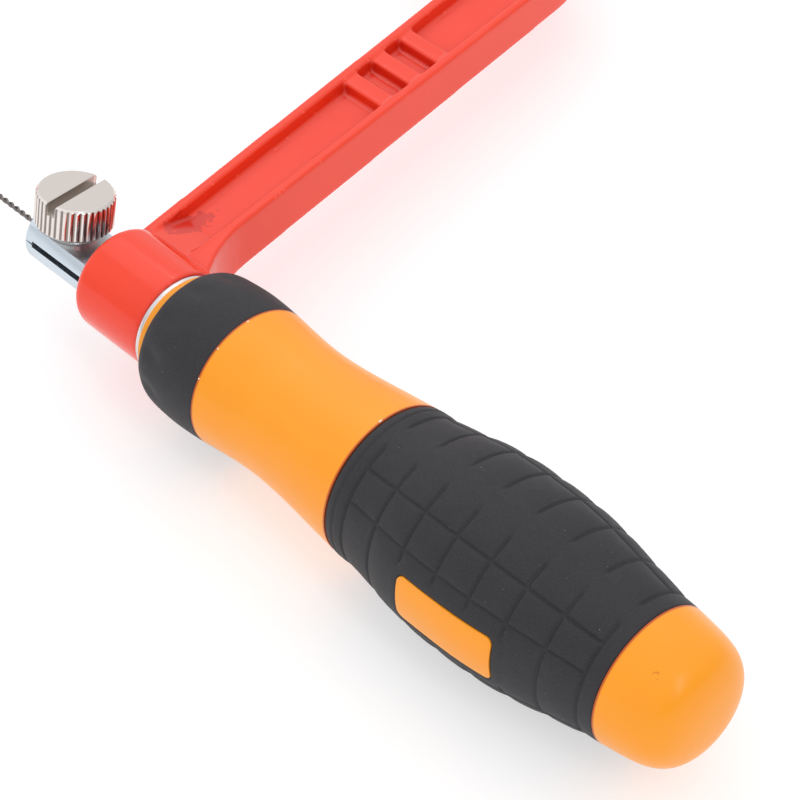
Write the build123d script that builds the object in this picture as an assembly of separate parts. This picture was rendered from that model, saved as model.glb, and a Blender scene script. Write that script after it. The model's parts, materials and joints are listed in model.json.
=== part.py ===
"""Deep-throat wire saw: a cast U frame with a slotted clamp stud at each end of a twisted saw wire.

Units are millimetres. While it is built, the saw's own frame is used:
  X runs along the wire, towards the butt of the handle, with x = 0 on the rear boss's handle-side face,
  Y runs from the wire to the back of the frame, and
  Z points the way the thumbscrews are driven from, so the saw lies on its side.
The front end mirrors the rear end about the plane x = MID_X.
At the end everything moves together so that the origin is under the middle of the saw's outline,
on the surface that the saw lies on.
"""

from build123d import *
from math import atan2, cos, pi, radians, sin, tan
import os

os.makedirs("parts", exist_ok=True)

# ---- driving sizes: the wire and the frame ---------------------------------------------------
WIRE_SPAN = 150.0          # free wire between the two clamp tips
WIRE_DIAMETER = 1.0
WIRE_TAIL = 14.3           # wire held inside each clamp, from its tip
WIRE_ASIDE = 0.9           # the wire lies this far off the middle of each clamp's slot

THROAT_DEPTH = 120.0       # from the wire to the inside of the frame's back
BACK_WIDTH = 14.0          # width of the frame's back, along Y
ARM_WIDTH = 12.4           # width of an arm, along X, level with the wire
ARM_LEAD = 0.2             # the arm's inner edge stands this far ahead of the boss, level with the wire
ARM_LEAN_INNER = 10.9      # degrees that an arm's inner edge leans to the middle of the saw
ARM_LEAN_OUTER = 9.7       # degrees that its outer edge leans
INNER_CORNER_RADIUS = 14.0
OUTER_CORNER_RADIUS = 26.0
FRAME_THICKNESS = 9.7      # level with the wire
THICKNESS_TAPER = 0.0156   # thickness lost per mm of Y
FLANGE_WIDTH = 1.9         # rim left around the lightening pockets
POCKET_DEPTH = 2.3
POCKET_DRAFT = 14.0        # degrees
RAMP_START_Y = 8.6         # the pocket floor rises to the boss between these two
RAMP_END_Y = 16.5

RIB_COUNT = 3
RIB_FIRST_Y = 60.8         # near edge of the rib next to the handle
RIB_PITCH = 8.1
RIB_WIDTH = 3.6
RIB_DROP = 0.35            # rib tops lie this far below the rims
RIB_DRAFT = 0.45           # each rib flank spreads this far at its foot

# ---- driving sizes: bosses and clamp studs ----------------------------------------------------
BOSS_RADIUS = 9.3
BOSS_LENGTH = 16.8
BOSS_ASIDE = 0.5           # the boss is cast this far off the wire's line, towards its arm
BOSS_RIM_RADIUS = 1.6      # rounding of the boss's blade-side rim
BOSS_SEAT_RIM_RADIUS = 0.5
BOSS_FLARE_Y = 22.0        # the arm starts to flare to the boss here
STUD_BORE_DEPTH = 12.8     # large bore, from the blade side
STUD_CLEARANCE = 0.05      # radial, stud in its bore
SHANK_CLEARANCE = 0.15     # radial, shank in the boss's small bore

STUD_RADIUS = 5.5
STUD_REACH = 17.5          # clamp that stands out of the boss
STUD_DRAW = 3.0            # room left behind the rear stud to take up stretch
STUD_TIP_CHAMFER = 0.9
STUD_FLAT_HEIGHT = 2.84    # flat under the thumbscrew, from the wire's line
STUD_FLAT_INSIDE = 1.5     # the flat runs this far into the boss
STUD_TILT = 9.8            # degrees that both studs are turned about the wire's line
SLOT_GAP = 1.15
SLOT_INSIDE = 5.5          # the slot runs this far into the boss
LIP_LENGTH = 2.6           # closed lips at the clamp's tip
LIP_GAP = 0.3
LIP_MOUTH = 0.7            # chamfer at the mouth of the lips
WIRE_CLEARANCE = 0.15      # radial, wire in the groove of the lips

THREAD_DIAMETER = 6.0      # both studs
THREAD_CLEARANCE = 0.05    # radial, in a nut
REAR_THREAD_REACH = 24.0   # threaded shank beyond the boss

# ---- driving sizes: thumbscrews ---------------------------------------------------------------
SCREW_FROM_TIP = 6.5       # screw axis, from the clamp's tip
SCREW_THREAD_DIAMETER = 5.0
SCREW_HEAD_RADIUS = 6.78
SCREW_HEAD_HEIGHT = 6.3
SCREW_HEAD_CHAMFER = 0.35
SCREW_FLUTES = 40
SCREW_FLUTE_DEPTH = 0.25
SCREW_SLOT_WIDTH = 1.9
SCREW_SLOT_DEPTH = 2.0
SCREW_SLOT_TURN = -78.0    # degrees from X
SCREW_TIP_GAP = 0.02       # between the screw's tip and the wire it holds
COLLAR_RADIUS = 4.5        # pressure washer under the head
COLLAR_HEIGHT = 1.73
COLLAR_GAP = 0.05          # between the washer and the head, which turns on it

# ---- driving sizes: nuts and washers ----------------------------------------------------------
WASHER_RADIUS = 9.2
WASHER_THICKNESS = 1.2
LOCK_WASHER_RADIUS = 5.6
LOCK_WASHER_THICKNESS = 1.5
LOCK_WASHER_SPLIT = 0.9
CAP_NUT_FLATS = 10.0
CAP_NUT_HEX_HEIGHT = 5.0
CAP_NUT_DOME_RADIUS = 4.6
CAP_NUT_BEVEL = 0.8
CAP_NUT_THREAD_DEPTH = 7.0
INSERT_FLATS = 10.0
INSERT_START = 4.5         # from the nose of the handle
INSERT_LENGTH = 14.0

# ---- driving sizes: the handle ----------------------------------------------------------------
HANDLE_LENGTH = 116.6
NOSE_RADIUS = 9.5
COLLAR_START = 2.0         # all stations count from the nose of the handle
COLLAR_END = 16.8
GRIP_START = 49.2
GRIP_END = 104.4
COLLAR_NOSE_RADIUS = 11.2
COLLAR_BULGE = (8.3, 12.9)  # station and radius of each turn of the outline
WAIST = (26.5, 11.72)
SWELL = (44.5, 13.0)
SHOULDER = (61.0, 14.95)
BELLY = (76.5, 16.0)       # the thickest place, where the saw rests
BUTT = (104.6, 12.0)       # the domed end starts here
BUTT_SLOPE = 0.13          # fall of the outline there
DOME_LEAD = 0.7            # share of the dome's length over which its side stays straight
DOME_FULLNESS = 0.93       # width of the dome's end curve, as a share of its start
GRIP_DEPTH = 1.8           # thickness of the soft grip
WINDOW_START = 67.6        # opening in the grip that shows the core
WINDOW_LENGTH = 19.1
WINDOW_HALF_ANGLE = 15.5
WINDOW_CORNER_RADIUS = 1.3
WINDOW_COUNT = 2
SHANK_HOLE_CLEARANCE = 0.4  # radial, around the threaded shank beyond its insert

# ---- places that follow from the sizes --------------------------------------------------------
BOSS_FRONT_X = -BOSS_LENGTH
REAR_TIP_X = BOSS_FRONT_X - STUD_REACH
FRONT_TIP_X = REAR_TIP_X - WIRE_SPAN
MID_X = (REAR_TIP_X + FRONT_TIP_X) / 2
SCREW_X = REAR_TIP_X + SCREW_FROM_TIP
NOSE_X = WASHER_THICKNESS
BACK_Y = THROAT_DEPTH + BACK_WIDTH
SHANK_RADIUS = THREAD_DIAMETER / 2
SCREW_RADIUS = SCREW_THREAD_DIAMETER / 2
WIRE_RADIUS = WIRE_DIAMETER / 2
HEAD_BOTTOM = STUD_FLAT_HEIGHT + COLLAR_HEIGHT
BIG = 4 * BACK_Y           # longer than anything it cuts


def inner_edge_x(y):
    """The rear arm's edge that faces the throat."""
    return BOSS_FRONT_X - ARM_LEAD - y * tan(radians(ARM_LEAN_INNER))


def outer_edge_x(y):
    """The rear arm's edge that faces the handle."""
    return BOSS_FRONT_X - ARM_LEAD + ARM_WIDTH - y * tan(radians(ARM_LEAN_OUTER))


def half_thickness(y):
    return (FRAME_THICKNESS - THICKNESS_TAPER * y) / 2


def x_cylinder(radius, x_start, x_end):
    """A cylinder on the wire's line, between two stations."""
    face = Plane(origin=(x_start, 0, 0), z_dir=(1, 0, 0)) * Circle(radius)
    return extrude(face, x_end - x_start)


def box_between(low, high):
    size = [b - a for a, b in zip(low, high)]
    middle = [(a + b) / 2 for a, b in zip(low, high)]
    return Pos(*middle) * Box(*size)


def front_copy(shape):
    """The same piece at the front end of the saw."""
    return mirror(shape, Plane(origin=(MID_X, 0, 0), z_dir=(1, 0, 0)))


# ---- the cast frame -----------------------------------------------------------------------------
def frame_outline():
    """The U, seen from above: half of it is drawn and mirrored."""
    corner_inner = (inner_edge_x(THROAT_DEPTH), THROAT_DEPTH)
    corner_outer = (outer_edge_x(BACK_Y), BACK_Y)
    half = make_face(Polyline(
        (inner_edge_x(0), 0),
        corner_inner,
        (MID_X, THROAT_DEPTH),
        (MID_X, BACK_Y),
        corner_outer,
        (outer_edge_x(0), 0),
        close=True,
    ))
    corners = half.vertices()
    inner = corners.sort_by_distance(Vector(*corner_inner, 0))[0]
    half = fillet(inner, INNER_CORNER_RADIUS)
    outer = half.vertices().sort_by_distance(Vector(*corner_outer, 0))[0]
    half = fillet(outer, OUTER_CORNER_RADIUS)
    whole = half + mirror(half, Plane(origin=(MID_X, 0, 0), z_dir=(1, 0, 0)))
    return whole


def boss_flare():
    """The curved corner where an arm's outer edge widens to the boss's full length."""
    top = (outer_edge_x(BOSS_FLARE_Y), BOSS_FLARE_Y)
    foot = (-BOSS_SEAT_RIM_RADIUS - 0.4, BOSS_RADIUS * 0.78)
    tangent = (tan(radians(ARM_LEAN_OUTER)), -1)
    arc = TangentArc(top, foot, tangent=tangent)
    closing = Polyline(foot, (foot[0], 0), (outer_edge_x(0) - 2, 0), (top[0] - 2, top[1]), top)
    return make_face([*arc.edges(), *closing.edges()])


def thickness_limit():
    """A long wedge that gives the frame its slight taper towards the back."""
    section = Plane.YZ * make_face(Polyline(
        (-BOSS_RADIUS, -half_thickness(-BOSS_RADIUS)),
        (BACK_Y + 1, -half_thickness(BACK_Y + 1)),
        (BACK_Y + 1, half_thickness(BACK_Y + 1)),
        (-BOSS_RADIUS, half_thickness(-BOSS_RADIUS)),
        close=True,
    ))
    return Pos(MID_X - BIG / 2, 0, 0) * extrude(section, BIG)


def pocket():
    """The lightening pocket in the upper side, with drafted walls and a ramp at each boss."""
    slope = atan2(THICKNESS_TAPER / 2, 1)
    top = Plane(origin=(0, 0, half_thickness(0)), x_dir=(1, 0, 0), z_dir=(0, sin(slope), cos(slope)))
    outline = offset(frame_outline(), -FLANGE_WIDTH)
    outline = outline - Pos(MID_X, 0) * Rectangle(BIG, 2 * RAMP_START_Y)
    return extrude(top * outline, -POCKET_DEPTH, taper=POCKET_DRAFT)


def ramp():
    """The slope at the boss end of the pocket's floor."""
    top = half_thickness(RAMP_START_Y)
    section = Plane.YZ * make_face(Polyline(
        (RAMP_START_Y - 1, top + 0.05),
        (RAMP_START_Y, top + 0.05),
        (RAMP_END_Y, top - POCKET_DEPTH),
        (RAMP_END_Y, top - POCKET_DEPTH - 1),
        (RAMP_START_Y - 1, top - POCKET_DEPTH - 1),
        close=True,
    ))
    return Pos(MID_X - BIG / 2, 0, 0) * extrude(section, BIG)


def rib(y):
    """One rib across both arms' pockets, its near edge at y."""
    top = half_thickness(y) - RIB_DROP
    foot = half_thickness(y) - POCKET_DEPTH - 0.5
    section = Plane.YZ * make_face(Polyline(
        (y - RIB_DRAFT, foot),
        (y + RIB_WIDTH + RIB_DRAFT, foot),
        (y + RIB_WIDTH, top),
        (y, top),
        close=True,
    ))
    return Pos(MID_X - BIG / 2, 0, 0) * extrude(section, BIG)


def make_frame():
    outline = frame_outline()
    flare = boss_flare()
    blank = extrude(outline + flare + mirror(flare, Plane(origin=(MID_X, 0, 0), z_dir=(1, 0, 0))),
                    FRAME_THICKNESS, both=True)
    blank = blank & thickness_limit()
    cutter = pocket() - ramp()
    for i in range(RIB_COUNT):
        cutter = cutter - rib(RIB_FIRST_Y + i * RIB_PITCH)
    body = blank - cutter - mirror(cutter, Plane.XY)
    boss = x_cylinder(BOSS_RADIUS, BOSS_FRONT_X, 0)
    boss = fillet(boss.edges().filter_by(GeomType.CIRCLE).sort_by(Axis.X)[0], BOSS_RIM_RADIUS)
    boss = fillet(boss.edges().filter_by(GeomType.CIRCLE).sort_by(Axis.X)[-1], BOSS_SEAT_RIM_RADIUS)
    boss = Pos(0, BOSS_ASIDE, 0) * boss
    stud_bore = x_cylinder(STUD_RADIUS + STUD_CLEARANCE, BOSS_FRONT_X - 20, BOSS_FRONT_X + STUD_BORE_DEPTH)
    shank_bore = x_cylinder(SHANK_RADIUS + SHANK_CLEARANCE, BOSS_FRONT_X, 20)
    bores = stud_bore + shank_bore
    body = body + boss + front_copy(boss)
    return body - bores - front_copy(bores)


# ---- clamp studs --------------------------------------------------------------------------------
def make_stud(bore_room, thread_reach):
    """A slotted stud at the rear end, upright: bore_room is left free behind its head."""
    head_end = BOSS_FRONT_X + STUD_BORE_DEPTH - bore_room
    head = x_cylinder(STUD_RADIUS, REAR_TIP_X, head_end)
    head = chamfer(head.edges().sort_by(Axis.X)[0], STUD_TIP_CHAMFER)
    stud = head + x_cylinder(SHANK_RADIUS, head_end, thread_reach)
    stud = chamfer(stud.edges().sort_by(Axis.X)[-1], 0.5)
    flat_end = BOSS_FRONT_X + STUD_FLAT_INSIDE
    flat_low = (REAR_TIP_X - 1, -BOSS_RADIUS, STUD_FLAT_HEIGHT)
    stud -= box_between(flat_low, (flat_end, BOSS_RADIUS, BOSS_RADIUS))
    slot_end = BOSS_FRONT_X + SLOT_INSIDE
    half = SLOT_GAP / 2
    stud -= box_between((REAR_TIP_X + LIP_LENGTH, -BOSS_RADIUS, -half), (slot_end, BOSS_RADIUS, half))
    lip = LIP_GAP / 2
    stud -= box_between((REAR_TIP_X - 1, -BOSS_RADIUS, -lip), (REAR_TIP_X + LIP_LENGTH + 1, BOSS_RADIUS, lip))
    mouth = Plane.XZ * make_face(Polyline(
        (REAR_TIP_X - 0.01, -LIP_MOUTH - lip),
        (REAR_TIP_X + LIP_MOUTH, 0),
        (REAR_TIP_X - 0.01, LIP_MOUTH + lip),
        close=True,
    ))
    stud -= extrude(mouth, BOSS_RADIUS, both=True)
    groove = x_cylinder(WIRE_RADIUS + WIRE_CLEARANCE, REAR_TIP_X - 1, REAR_TIP_X + LIP_LENGTH + 1)
    stud -= Pos(0, -WIRE_ASIDE, 0) * groove
    thread = Pos(SCREW_X, 0, 0) * Cylinder(SCREW_RADIUS + THREAD_CLEARANCE, BOSS_RADIUS,
                                           align=(Align.CENTER, Align.CENTER, Align.MIN))
    return stud - thread


# ---- thumbscrews --------------------------------------------------------------------------------
def fluted_outline():
    """The head's straight knurl: a wave around a circle."""
    points = []
    for i in range(2 * SCREW_FLUTES):
        radius = SCREW_HEAD_RADIUS - SCREW_FLUTE_DEPTH * (i % 2)
        angle = pi * i / SCREW_FLUTES
        points.append((radius * cos(angle), radius * sin(angle)))
    return make_face(Polyline(*points, close=True))


def make_thumbscrew():
    """At the rear end, upright: fluted head, screwdriver slot and threaded shank."""
    top = HEAD_BOTTOM + SCREW_HEAD_HEIGHT
    head = Pos(SCREW_X, 0, HEAD_BOTTOM) * extrude(fluted_outline(), SCREW_HEAD_HEIGHT)
    rim = SCREW_HEAD_RADIUS - SCREW_HEAD_CHAMFER
    bevel = Cone(rim + SCREW_HEAD_HEIGHT, rim, SCREW_HEAD_HEIGHT)
    head &= Pos(SCREW_X, 0, top - SCREW_HEAD_HEIGHT / 2) * bevel
    slot = Pos(SCREW_X, 0, top) * Rot(0, 0, SCREW_SLOT_TURN) * Box(
        4 * SCREW_HEAD_RADIUS, SCREW_SLOT_WIDTH, 2 * SCREW_SLOT_DEPTH)
    tip = WIRE_RADIUS + SCREW_TIP_GAP
    shank = Pos(SCREW_X, 0, tip) * Cylinder(SCREW_RADIUS, HEAD_BOTTOM - tip + 1,
                                            align=(Align.CENTER, Align.CENTER, Align.MIN))
    return head + shank - slot


def make_screw_washer():
    height = COLLAR_HEIGHT - COLLAR_GAP
    ring = Cylinder(COLLAR_RADIUS, height) - Cylinder(SCREW_RADIUS + THREAD_CLEARANCE, height)
    return Pos(SCREW_X, 0, STUD_FLAT_HEIGHT + height / 2) * ring


# ---- washers and nuts ---------------------------------------------------------------------------
def make_thrust_washer():
    return x_cylinder(WASHER_RADIUS, 0, NOSE_X) - x_cylinder(SHANK_RADIUS + SHANK_CLEARANCE, 0, NOSE_X)


def make_lock_washer():
    """Split spring washer on the outside of the front boss, drawn at the rear end."""
    ring = x_cylinder(LOCK_WASHER_RADIUS, 0, LOCK_WASHER_THICKNESS)
    ring -= x_cylinder(SHANK_RADIUS + SHANK_CLEARANCE, 0, LOCK_WASHER_THICKNESS)
    half = LOCK_WASHER_SPLIT / 2
    return ring - box_between((-1, 0, -half), (LOCK_WASHER_THICKNESS + 1, LOCK_WASHER_RADIUS + 1, half))


def make_cap_nut():
    """Domed hexagon nut on the front stud, drawn at the rear end."""
    start = LOCK_WASHER_THICKNESS
    seat = Plane(origin=(start, 0, 0), z_dir=(1, 0, 0))
    hexagon = extrude(seat * RegularPolygon(CAP_NUT_FLATS / 2, 6, major_radius=False), CAP_NUT_HEX_HEIGHT)
    dome_centre = start + CAP_NUT_HEX_HEIGHT
    corner = CAP_NUT_FLATS / 2 + 1
    bevel = revolve(make_face(Polyline(
        (start, 0),
        (dome_centre, 0),
        (dome_centre, corner - 1),
        (dome_centre - CAP_NUT_BEVEL, corner),
        (start, corner),
        close=True,
    )), Axis.X)
    dome = Pos(dome_centre, 0, 0) * Sphere(CAP_NUT_DOME_RADIUS)
    dome &= x_cylinder(CAP_NUT_DOME_RADIUS + 1, dome_centre - 1, dome_centre + CAP_NUT_DOME_RADIUS)
    bore = x_cylinder(SHANK_RADIUS + THREAD_CLEARANCE, start, start + CAP_NUT_THREAD_DEPTH)
    return (hexagon & bevel) + dome - bore


def make_handle_insert():
    """Hexagon nut moulded into the handle; the rear stud screws into it."""
    start = NOSE_X + INSERT_START
    seat = Plane(origin=(start, 0, 0), z_dir=(1, 0, 0))
    hexagon = extrude(seat * RegularPolygon(INSERT_FLATS / 2, 6, major_radius=False), INSERT_LENGTH)
    return hexagon - x_cylinder(SHANK_RADIUS + THREAD_CLEARANCE, start, start + INSERT_LENGTH)


# ---- the handle ---------------------------------------------------------------------------------
def handle_skin(sink):
    """The handle's whole outer shape, or the same shape sunk evenly under its surface."""
    turns = [(COLLAR_START, COLLAR_NOSE_RADIUS), COLLAR_BULGE, WAIST, SWELL, SHOULDER, BELLY, BUTT]
    points = [(NOSE_X + x, r - sink) for x, r in turns]
    start, belly, butt = points[0], points[-2], points[-1]
    front = Spline(*points[:-1], tangents=[(1, 0.9), (1, 0)])
    back = Spline(belly, butt, tangents=[(1, 0), (1, -BUTT_SLOPE)])
    end = NOSE_X + HANDLE_LENGTH - sink
    lead = (end - butt[0]) * DOME_LEAD
    straight = (butt[0] + lead, butt[1] - lead * BUTT_SLOPE)
    dome = Bezier(butt, straight, (end, DOME_FULLNESS * butt[1]), (end, 0))
    closing = Polyline((end, 0), (start[0], 0), start)
    edges = [*front.edges(), *back.edges(), *dome.edges(), *closing.edges()]
    return revolve(make_face(edges), Axis.X)


def ring_between(start, end):
    """Everything between two stations of the handle."""
    return x_cylinder(3 * BELLY[1], NOSE_X + start, NOSE_X + end)


def windows():
    """The space that each window in the grip takes up, the first one away from the frame's back."""
    width = 2 * BELLY[1] * sin(radians(WINDOW_HALF_ANGLE))
    middle = NOSE_X + WINDOW_START + WINDOW_LENGTH / 2
    outline = Plane.XZ * Pos(middle, 0) * RectangleRounded(WINDOW_LENGTH, width, WINDOW_CORNER_RADIUS)
    block = extrude(outline, 2 * BELLY[1])
    return [Rot(360 * i / WINDOW_COUNT, 0, 0) * block for i in range(WINDOW_COUNT)]


def make_handle_core():
    skin = handle_skin(0)
    neck = x_cylinder(NOSE_RADIUS, NOSE_X, NOSE_X + COLLAR_END)
    core = neck + (skin & ring_between(COLLAR_END, GRIP_START))
    core += skin & ring_between(GRIP_END, HANDLE_LENGTH + 1)
    core += handle_skin(GRIP_DEPTH) & ring_between(GRIP_START, GRIP_END)
    pads = skin & ring_between(GRIP_START, GRIP_END)
    for window in windows():
        core += pads & window
    insert_start = NOSE_X + INSERT_START
    seat = Plane(origin=(insert_start, 0, 0), z_dir=(1, 0, 0))
    core -= extrude(seat * RegularPolygon(INSERT_FLATS / 2, 6, major_radius=False), INSERT_LENGTH)
    hole_end = REAR_THREAD_REACH + 2
    return core - x_cylinder(SHANK_RADIUS + SHANK_HOLE_CLEARANCE, NOSE_X - 1, hole_end)


def make_handle_collar():
    ring = handle_skin(0) & ring_between(COLLAR_START, COLLAR_END)
    return ring - x_cylinder(NOSE_RADIUS, 0, NOSE_X + COLLAR_END + 1)


def make_handle_grip():
    sleeve = (handle_skin(0) - handle_skin(GRIP_DEPTH)) & ring_between(GRIP_START, GRIP_END)
    for window in windows():
        sleeve -= window
    return sleeve


# ---- the wire -----------------------------------------------------------------------------------
def make_saw_wire():
    """Drawn with the clamps upright, as they are."""
    return Pos(0, -WIRE_ASIDE, 0) * x_cylinder(WIRE_RADIUS, FRONT_TIP_X - WIRE_TAIL, REAR_TIP_X + WIRE_TAIL)


# ---- assembly -----------------------------------------------------------------------------------
def assemble():
    tilt = Rot(-STUD_TILT, 0, 0)
    front_reach = LOCK_WASHER_THICKNESS + CAP_NUT_THREAD_DEPTH - 0.5
    screw, screw_washer = make_thumbscrew(), make_screw_washer()
    return {
        "frame": make_frame(),
        "thrust_washer": make_thrust_washer(),
        "saw_wire": tilt * make_saw_wire(),
        "rear_clamp_stud": tilt * make_stud(STUD_DRAW, REAR_THREAD_REACH),
        "rear_screw_washer": tilt * screw_washer,
        "rear_thumbscrew": tilt * screw,
        "front_clamp_stud": tilt * front_copy(make_stud(0, front_reach)),
        "front_screw_washer": tilt * front_copy(screw_washer),
        "front_thumbscrew": tilt * front_copy(screw),
        "front_lock_washer": front_copy(make_lock_washer()),
        "front_cap_nut": front_copy(make_cap_nut()),
        "handle_core": make_handle_core(),
        "handle_insert": make_handle_insert(),
        "handle_collar": make_handle_collar(),
        "handle_grip": make_handle_grip(),
    }


def main():
    parts = assemble()
    front_end_x = 2 * MID_X - LOCK_WASHER_THICKNESS - CAP_NUT_HEX_HEIGHT - CAP_NUT_DOME_RADIUS
    butt_end_x = NOSE_X + HANDLE_LENGTH
    home = Pos(-(front_end_x + butt_end_x) / 2, -(BACK_Y - BELLY[1]) / 2, BELLY[1])
    print("the wire's line and the rear boss's face go to", home.position)
    for name, part in parts.items():
        export_step(home * part, f"parts/{name}.step")


main()
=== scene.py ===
# %% [markdown]
# # A wire saw with a soft handle
# The saw is a red cast frame shaped like a deep U. A twisted wire runs across its mouth, held at each
# end by a slotted stud and a thumbscrew, and the two-colour handle screws onto the rear stud.
# The CAD model comes in first as a fixed frame, so every piece made here goes where the CAD says.

# %% Load the frame
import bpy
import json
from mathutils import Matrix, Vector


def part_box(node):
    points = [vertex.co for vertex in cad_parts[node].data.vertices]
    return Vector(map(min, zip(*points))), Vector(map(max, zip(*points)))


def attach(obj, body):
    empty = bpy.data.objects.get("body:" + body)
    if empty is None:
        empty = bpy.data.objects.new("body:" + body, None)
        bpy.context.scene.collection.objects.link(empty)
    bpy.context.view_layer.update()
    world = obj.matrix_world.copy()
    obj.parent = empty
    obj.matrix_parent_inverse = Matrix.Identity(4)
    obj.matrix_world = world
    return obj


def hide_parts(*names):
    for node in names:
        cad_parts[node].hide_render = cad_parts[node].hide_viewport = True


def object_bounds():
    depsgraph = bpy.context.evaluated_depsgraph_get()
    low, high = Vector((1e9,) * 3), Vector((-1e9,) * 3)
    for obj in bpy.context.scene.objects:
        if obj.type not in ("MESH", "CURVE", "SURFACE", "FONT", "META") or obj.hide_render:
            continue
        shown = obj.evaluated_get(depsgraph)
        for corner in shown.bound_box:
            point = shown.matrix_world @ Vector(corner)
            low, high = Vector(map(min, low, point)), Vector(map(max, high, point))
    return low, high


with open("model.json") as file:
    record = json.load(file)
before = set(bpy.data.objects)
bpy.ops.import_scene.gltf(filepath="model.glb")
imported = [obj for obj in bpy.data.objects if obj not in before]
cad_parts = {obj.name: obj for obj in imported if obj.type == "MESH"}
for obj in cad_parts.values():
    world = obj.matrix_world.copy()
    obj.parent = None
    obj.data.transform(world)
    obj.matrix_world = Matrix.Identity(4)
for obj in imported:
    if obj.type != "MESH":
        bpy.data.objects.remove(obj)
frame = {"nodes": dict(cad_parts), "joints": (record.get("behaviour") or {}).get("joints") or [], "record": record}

cad_box = [list(corner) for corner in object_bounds()]
nodes = frame["nodes"]
joints = {joint["name"]: joint for joint in frame["joints"]}
print("CAD nodes:", ", ".join(sorted(nodes)))

# %% [markdown]
# ## Lengths and the handle's line
# Blender works in metres, and a hand tool is easier to think about in millimetres, so lengths are
# written as a number of millimetres times `MM`. The wire and the handle share one line along X. The
# handle turns about it, so the record's hinge says where it is.

# %% Units and the handle's line
import bmesh
import bpy
import json
import math
import numpy as np
from mathutils import Vector

MM = 0.001
LINE_Y, LINE_Z = joints["handle_turn"]["pos_m"][1:]
NOSE_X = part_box("handle_core")[0].x         # the handle's stations are counted from its nose
print(f"the handle's line is at y {LINE_Y:.4f}, z {LINE_Z:.4f}, and its nose at x {NOSE_X:.4f}")

# %% [markdown]
# ## The camera
# A long lens keeps the saw's edges nearly parallel, as in a product picture. The camera looks at the
# place where the collar meets the orange waist, from above the handle's side, and the front half of
# the saw runs out of the frame.

# %% Camera
CAMERA_OFFSET = Vector((276.4, -225.9, 321.5)) * MM    # from the point that the camera aims by
CAMERA_AZIMUTH = math.radians(46.91)
CAMERA_ELEVATION = math.radians(42.48)
CAMERA_LENS = 135.0

collar_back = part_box("handle_collar")[1].x
camera_data = bpy.data.cameras.new("camera")
camera_data.lens = CAMERA_LENS
camera_data.clip_start, camera_data.clip_end = 10 * MM, 20.0
camera = bpy.data.objects.new("camera", camera_data)
bpy.context.scene.collection.objects.link(camera)
camera.location = Vector((collar_back, LINE_Y, LINE_Z)) + CAMERA_OFFSET
camera.rotation_euler = (math.pi / 2 - CAMERA_ELEVATION, 0, CAMERA_AZIMUTH)
bpy.context.scene.camera = camera
print("camera at", [round(v, 3) for v in camera.location])

# %% [markdown]
# ## The light
# Product pictures of tools are lit by large soft boxes in a white room, which leaves hardly a shadow.
# The sky stands for that room: bright overhead and greyer towards the horizon, so that metal has
# something to reflect. Dim area lights give it a direction. A broad one hangs over the throat side,
# one is low beside the handle, and two slim ones draw a streak along round surfaces.
# The standard view transform keeps the paint as saturated as it is.

# %% Sky
SKY_DIM, SKY_BRIGHT = 0.48, 1.12
SKY_SIDE = Vector((-0.38, 0.12, 0.92)).normalized()    # where the sky is brightest
SKY_LOW = -0.35                 # how far from that side the sky stops getting dimmer, as a cosine
SKY_COLOUR = (0.98, 0.985, 1.0, 1)
bpy.context.scene.view_settings.view_transform = "Standard"
world = bpy.data.worlds.new("white_room")
bpy.context.scene.world = world
world.use_nodes = True


def light_sky(tree):
    """The sky's strength rises smoothly from a little under level to its brightest side."""
    heading = tree.nodes.new("ShaderNodeTexCoord").outputs["Generated"]
    side = tree.nodes.new("ShaderNodeVectorMath")
    side.operation = "DOT_PRODUCT"
    side.inputs[1].default_value = SKY_SIDE
    rise = tree.nodes.new("ShaderNodeMapRange")
    rise.interpolation_type = "SMOOTHSTEP"
    rise.inputs["From Min"].default_value = SKY_LOW
    rise.inputs["To Min"].default_value = SKY_DIM
    rise.inputs["To Max"].default_value = SKY_BRIGHT
    tree.links.new(heading, side.inputs[0])
    tree.links.new(side.outputs["Value"], rise.inputs["Value"])
    tree.links.new(rise.outputs[0], tree.nodes["Background"].inputs["Strength"])
    tree.nodes["Background"].inputs["Color"].default_value = SKY_COLOUR


light_sky(world.node_tree)
print(world.name, "from", SKY_DIM, "to", SKY_BRIGHT)


# %% Area lights
def add_soft_box(name, place, aim, size, watts):
    """A rectangular area light at place that faces aim. Lengths are in metres."""
    data = bpy.data.lights.new(name, "AREA")
    data.shape = "RECTANGLE"
    data.size, data.size_y = size
    data.energy = watts
    light = bpy.data.objects.new(name, data)
    bpy.context.scene.collection.objects.link(light)
    light.location = place
    light.rotation_euler = (Vector(aim) - Vector(place)).to_track_quat("-Z", "Y").to_euler()
    light.visible_camera = False


SOFT_BOXES = {                  # offset from the saw's middle and size, in metres, and watts
    "key_box": (Vector((-0.5, 0.2, 0.9)), (0.9, 0.7), 0.9),
    "flank_box": (Vector((0.3, -0.9, 0.25)), (0.9, 0.3), 0.35),
    "streak_box": (Vector((0.75, -0.2, 0.6)), (0.1, 0.5), 0.9),
    "glint_box": (1.6 * Vector((-0.54, 0.38, 0.75)), (0.07, 0.1), 0.16),
}
middle = (Vector(cad_box[0]) + Vector(cad_box[1])) / 2
for name, (offset, size, watts) in SOFT_BOXES.items():
    add_soft_box(name, middle + offset, middle, size, watts)
print("lights:", ", ".join(SOFT_BOXES))

# %% [markdown]
# ## Shader maths written as Python
# A procedural finish is mostly small sums: a mask, a bit of noise, a threshold. `Value` wraps a socket
# so that those sums read as Python, and each operator adds one Math node. `Finish` owns one material.
# Its `vector` method adds a Vector Math node, and its `node` method adds any other: it takes the type,
# the settings, and the sockets' values.

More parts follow.
